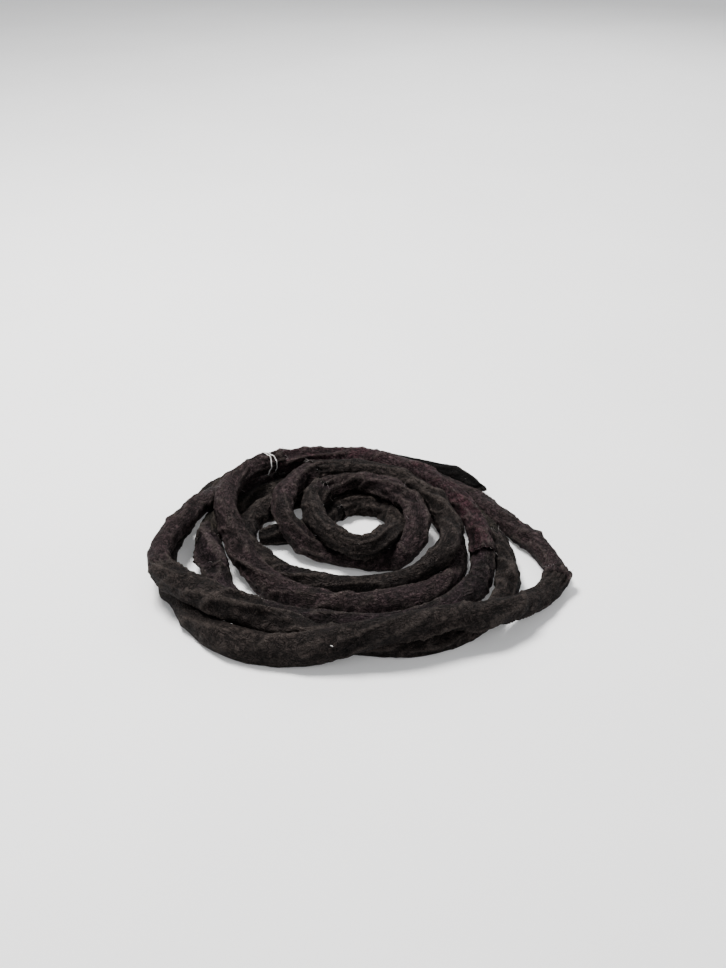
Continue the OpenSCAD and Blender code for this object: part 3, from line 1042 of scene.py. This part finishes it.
def make_threads():
    """Two turns of thread over the arch's cloth, and the end that hangs off the first."""
    middle = at(BINDING) + THREAD_SHIFT
    ring_a = skin_ring("cloth_arch", middle - THREAD_GAP, THREAD_LEAN)
    ring_b = skin_ring("cloth_arch", middle + THREAD_GAP, -THREAD_LEAN)
    thread_tube("thread_a", ring_a, "thread_turn_1", True)
    thread_tube("thread_b", ring_b, "thread_turn_2", True)
    low = ring_a[int(np.argmin(ring_a[:, 0] + 0.6 * ring_a[:, 2]))]
    way = unit(np.array([-0.55, -0.45, -0.7]))
    steps = np.linspace(0, 1, 22)[:, None]
    wobble = 0.9 * MM * np.sin(steps * 9) * np.array([0.6, -0.5, 0.3]) * steps
    thread_tube("thread_end", low + way * steps * THREAD_END_LENGTH + wobble, "thread_tail", False)


make_threads()

# ---------------------------------------------------------------- the flat, frayed tip

TIP_ALONG, TIP_ACROSS = 30, 25
TIP_INSIDE = 7 * MM
TIP_HALF_WIDTH = 5.6 * MM
# Middle, half width and reach of the tip's two lobes; a middle of 0 is the middle of the tip
TIP_LOBES = ((0.35, 0.62, 8.5 * MM), (-0.62, 0.36, 5.0 * MM))
NOTCH_REACH = 0.6 * MM


def tip_sheet(reach, v, sign):
    """One face of the flat tip, thin at its torn rim."""
    verts = []
    way_out, side, up = -TANGENT[0], SIDE[0], np.array([0, 0, 1.0])
    for i in range(TIP_ALONG):
        t = i / (TIP_ALONG - 1)
        for j in range(TIP_ACROSS):
            out = -TIP_INSIDE + t * (TIP_INSIDE + reach[j])
            half = TIP_HALF_WIDTH * (1 - 0.10 * t)
            rim = min(1 - abs(v[j]), (1 - t) * 3) if t > 0.1 else 1 - abs(v[j])
            thick = 0.65 * MM * min(1, rim * 5) ** 0.5 + 0.9 * MM * (1 - t) ** 2 * (1 - v[j] ** 2)
            ripple = 0.5 * MM * math.sin(3.1 * v[j] + 4 * t) + 0.35 * MM * math.sin(7 * v[j] - 5 * t)
            sag = -1.9 * MM * max(0, t - 0.25) - 0.8 * MM * v[j] * t
            p = LINE[0] + way_out * out + side * v[j] * half + up * (ripple + sag + sign * thick)
            p[2] = max(p[2], 0.2 * MM)
            verts.append(p.tolist())
    return verts


def make_tip():
    """The flat end of the tail's cloth: a long upper lobe, a short lower one and a notch between."""
    rng = np.random.default_rng(41)
    v = np.linspace(-1, 1, TIP_ACROSS)
    lobes = [top * np.clip(1 - ((v - mid) / wide) ** 2, 0, 1) ** 0.7 for mid, wide, top in TIP_LOBES]
    reach = np.maximum(np.maximum(*lobes), NOTCH_REACH) + 0.9 * MM * (rng.random(TIP_ACROSS) - 0.5)
    verts = tip_sheet(reach, v, 1) + tip_sheet(reach, v, -1)
    faces = []
    count = TIP_ALONG * TIP_ACROSS
    for i in range(TIP_ALONG - 1):
        for j in range(TIP_ACROSS - 1):
            a = i * TIP_ACROSS + j
            quad = [a, a + 1, a + TIP_ACROSS + 1, a + TIP_ACROSS]
            faces.append(quad)
            faces.append([q + count for q in reversed(quad)])
    edge = list(range(TIP_ACROSS))
    edge += [i * TIP_ACROSS + TIP_ACROSS - 1 for i in range(1, TIP_ALONG)]
    edge += [(TIP_ALONG - 1) * TIP_ACROSS + j for j in range(TIP_ACROSS - 2, -1, -1)]
    edge += [i * TIP_ACROSS for i in range(TIP_ALONG - 2, 0, -1)]
    for a, b in zip(edge, edge[1:] + edge[:1]):
        faces.append([b, a, a + count, b + count])
    mesh = bpy.data.meshes.new("tip_flat")
    mesh.from_pydata(verts, [], faces)
    cell = loop_vertices(mesh) % count
    set_uv(mesh, cell // TIP_ACROSS * 0.5 * MM, cell % TIP_ACROSS * 0.45 * MM)
    set_relief(mesh, np.full(len(verts), 0.5))
    dress(new_object(mesh), "dark", ["tip_flap"], "tail_tip")


make_tip()

# ---------------------------------------------------------------- loose threads and lint

HAIR_SIDES, HAIR_JOINTS = 4, 7
HAIRS_AT_A_RIM, HAIRS_ALONG_A_CLOTH = 24, 5
# Place of the pale speck on the front strand, and how far round: just above the middle of its front
SPECK = 19.4
SPECK_COLUMN = AROUND // 2 - AROUND // 10
SPECK_HAIRS = 9


def hair(rng, start, way, length, thick, verts, faces):
    """One loose thread that curls as it goes, and hangs down."""
    base = len(verts)
    curl = unit(rng.normal(size=3)) * 0.9
    place, heading = np.array(start), unit(way)
    for j in range(HAIR_JOINTS):
        across = unit(np.cross(heading, [0.3, 0.2, 1.0]))
        other = np.cross(heading, across)
        r = thick * (1 - 0.6 * j / (HAIR_JOINTS - 1))
        for k in range(HAIR_SIDES):
            a = k / HAIR_SIDES * 2 * math.pi
            p = place + r * (math.cos(a) * across + math.sin(a) * other)
            verts.append([float(p[0]), float(p[1]), float(max(p[2], 0.12 * MM))])
        heading = unit(heading + (curl + np.array([0, 0, -0.35])) * 0.25)
        place = place + heading * length / (HAIR_JOINTS - 1)
    for j in range(HAIR_JOINTS - 1):
        for k in range(HAIR_SIDES):
            a, b = base + j * HAIR_SIDES + k, base + j * HAIR_SIDES + (k + 1) % HAIR_SIDES
            faces.append([a, b, b + HAIR_SIDES, a + HAIR_SIDES])
    faces.append([base + k for k in reversed(range(HAIR_SIDES))])
    faces.append([base + (HAIR_JOINTS - 1) * HAIR_SIDES + k for k in range(HAIR_SIDES)])


def skin_point(surface, row, column):
    """A point on a cloth, and the way out of it."""
    _, picked, radii, sides, ups, _ = surface
    a = column / AROUND * 2 * math.pi
    out = math.cos(a) * sides[row] + math.sin(a) * ups[row]
    return LINE[picked[row]], radii[row, column], out


def cloth_hairs(rng, name, verts, faces):
    """Loose threads at the torn rims of one cloth, and a few more along it."""
    surface = cloth_surface(name)
    picked = surface[1]
    laps = CLOTHS[name]["laps"]
    rims = [(0, -1)] * (laps[0] > 0) + [(len(picked) - 1, 1)] * (laps[1] > 0)
    spots = [(row, sign, HAIRS_AT_A_RIM) for row, sign in rims] + [(None, 1, HAIRS_ALONG_A_CLOTH)]
    for row, sign, count in spots:
        for _ in range(count):
            r = row if row is not None else int(rng.integers(8, len(picked) - 8))
            centre, radius, out = skin_point(surface, r, int(rng.integers(0, AROUND)))
            if out[2] < -0.35:
                continue
            way = TANGENT[picked[r]] * sign * rng.uniform(0.4, 1.2) + out * rng.uniform(0.15, 0.7)
            way = way + 0.5 * rng.normal(size=3)
            start = centre + out * (radius - 0.1 * MM)
            hair(rng, start, way, rng.uniform(1.6, 4.6) * MM, rng.uniform(0.07, 0.13) * MM, verts, faces)


def make_lint():
    """Loose threads of all the cloths, and one pale speck."""
    rng = np.random.default_rng(51)
    verts, faces = [], []
    for name in CLOTHS:
        cloth_hairs(rng, name, verts, faces)
    plain = len(faces)
    surface = cloth_surface("cloth_outer_turn")
    row = int(np.argmin(np.abs(S[surface[1]] - at(SPECK))))
    centre, radius, out = skin_point(surface, row, SPECK_COLUMN)
    speck = centre + out * (radius + 0.1 * MM)
    for _ in range(SPECK_HAIRS):
        hair(rng, speck, rng.normal(size=3) + 0.4 * out, 0.9 * MM, 0.2 * MM, verts, faces)
    mesh = bpy.data.meshes.new("frayed_threads")
    mesh.from_pydata(verts, [], faces)
    loops = loop_vertices(mesh)
    set_uv(mesh, loops // HAIR_SIDES * 0.5 * MM, loops % HAIR_SIDES * 0.2 * MM)
    set_relief(mesh, np.full(len(verts), 0.7))
    obj = new_object(mesh)
    dress(obj, "lint", [], "root")
    mesh.materials.append(MATERIALS["thread"])
    mesh.polygons.foreach_set("material_index", [int(i >= plain) for i in range(len(faces))])


make_lint()

# ---------------------------------------------------------------- the pieces on the rope, the floor and the bounds

on_rope = [piece for name, piece in PIECES.items() if name != "rope_main"]

FLOOR_HALF = 3.0
FLOOR_GLOW = 0.14


def make_floor():
    corners = [(x * FLOOR_HALF, y * FLOOR_HALF, 0) for x, y in ((-1, -1), (1, -1), (1, 1), (-1, 1))]
    mesh = bpy.data.meshes.new("floor")
    mesh.from_pydata(corners, [], [(0, 1, 2, 3)])
    floor = bpy.data.objects.new("floor", mesh)
    bpy.context.collection.objects.link(floor)
    n = Nodes("pale_floor")
    where = n.add("ShaderNodeTexCoord").outputs["Object"]
    tone = n.ramp(n.noise(where, 6, 3, 0.5), [(0.3, grey(0.80)), (0.7, grey(0.84))])
    mesh.materials.append(n.surface(tone, 0.8, Emission_Color=(1, 1, 1, 1), Emission_Strength=FLOOR_GLOW))
    floor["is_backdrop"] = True


make_floor()

bpy.context.view_layer.update()
NEW_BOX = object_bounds()
boxes = {"cad": [list(map(float, corner)) for corner in CAD_BOX],
         "visual": [list(map(float, corner)) for corner in NEW_BOX]}
